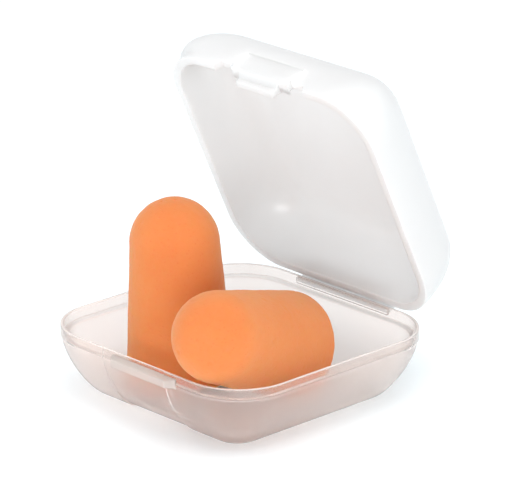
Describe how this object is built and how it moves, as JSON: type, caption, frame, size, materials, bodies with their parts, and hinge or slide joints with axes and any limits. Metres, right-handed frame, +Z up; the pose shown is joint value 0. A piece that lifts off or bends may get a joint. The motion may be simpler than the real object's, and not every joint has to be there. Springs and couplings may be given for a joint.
{
  "type": "ear plug case",
  "caption": "Tapered soft foam ear plugs in a small square translucent snap case, open on its living hinge.",
  "frame": {"origin": "middle of the tray's flat underside, on the surface the case stands on", "axes": "+Z up out of the tray, -Y the front with the latch, +Y the back with the hinge, +X to the right"},
  "size_m": [0.04, 0.0485, 0.047],
  "materials": {
    "frosted_plastic": "satin",
    "milky_plastic": "satin",
    "orange_foam": "matte"
  },
  "bodies": {
    "tray": {"tray": "frosted_plastic", "catch_ledge": "frosted_plastic"},
    "lid": {"hinge_strap": "milky_plastic", "lid": "milky_plastic"},
    "tab": {"latch_tab": "milky_plastic"},
    "standing_plug": {"plug_standing": "orange_foam"},
    "leaning_plug": {"plug_leaning": "orange_foam"}
  },
  "joints": [
    {"name": "standing_plug_out", "type": "slide", "parent": "tray", "child": "standing_plug", "axis": [0, -0.6, 0.8], "range_m": [0, 0.07]},
    {"name": "leaning_plug_out", "type": "slide", "parent": "tray", "child": "leaning_plug", "axis": [0.15, -0.75, 0.6442], "range_m": [0, 0.07]},
    {"name": "lid_close", "type": "hinge", "parent": "tray", "child": "lid", "pos_m": [0, 0.02081, 0.00949], "axis": [-1, 0, 0], "range_deg": [-64, 0]},
    {"name": "tab_flex", "type": "hinge", "parent": "lid", "child": "tab", "pos_m": [0, 0.00624, 0.04623], "axis": [1, 0, 0], "range_deg": [0, 8], "stiffness_Nm_per_rad": 0.01}
  ],
  "couplings": [
    {"joint": "lid_close", "follows": "standing_plug_out", "rad_per_m": -15.957},
    {"joint": "leaning_plug_out", "follows": "standing_plug_out", "ratio": 1}
  ]
}
